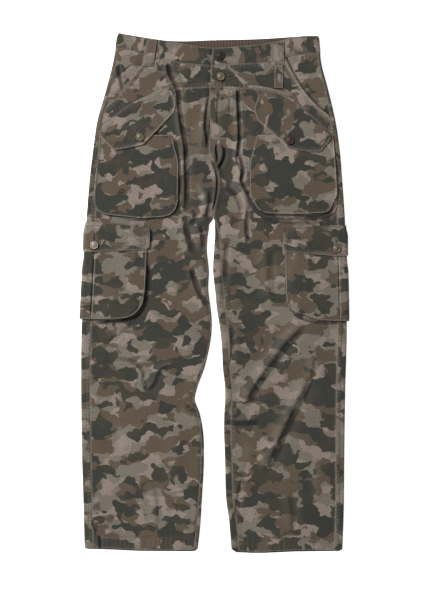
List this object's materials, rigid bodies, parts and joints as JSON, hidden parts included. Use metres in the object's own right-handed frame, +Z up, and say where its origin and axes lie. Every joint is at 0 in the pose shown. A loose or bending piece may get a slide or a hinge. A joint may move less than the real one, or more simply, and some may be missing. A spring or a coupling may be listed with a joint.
{
  "type": "cargo pants",
  "caption": "Straight-leg camouflage cargo pants laid flat, front up, with a pointed yoke, flapped patch pockets at the hips and bellows pockets on the side seams.",
  "frame": {"origin": "centre of the bounding box on the surface that the garment lies on", "axes": "+X towards the wearer's left leg, +Y from the hems to the waist, +Z up out of the garment's front"},
  "size_m": [0.54, 1.0372, 0.0204],
  "materials": {
    "cloth": "matt cotton twill printed with a four-colour camouflage of grey-green, brown, khaki and pinkish tan, washed pale along its seam edges",
    "button_metal": "dark antiqued bronze, worn on the rim"
  },
  "bodies": {
    "root": {"front_right": "cloth", "front_left": "cloth", "back_right": "cloth", "back_left": "cloth", "yoke_right": "cloth", "yoke_left": "cloth", "waistband_right": "cloth", "waistband_left": "cloth", "pocket_facing_right": "cloth", "pocket_facing_left": "cloth", "hip_pocket_right": "cloth", "hip_pocket_left": "cloth", "hip_flap_right": "cloth", "hip_flap_left": "cloth", "cargo_pocket_right": "cloth", "cargo_pocket_left": "cloth", "cargo_flap_right": "cloth", "cargo_flap_left": "cloth", "belt_loop_front_right": "cloth", "belt_loop_front_left": "cloth", "belt_loop_back_right": "cloth", "belt_loop_back_middle": "cloth", "belt_loop_back_left": "cloth", "yoke_tab_left": "cloth", "button_waist": "button_metal", "button_yoke": "button_metal", "button_hip_right": "button_metal", "button_hip_left": "button_metal", "button_cargo_right": "button_metal", "button_cargo_left": "button_metal"}
  },
  "joints": []
}
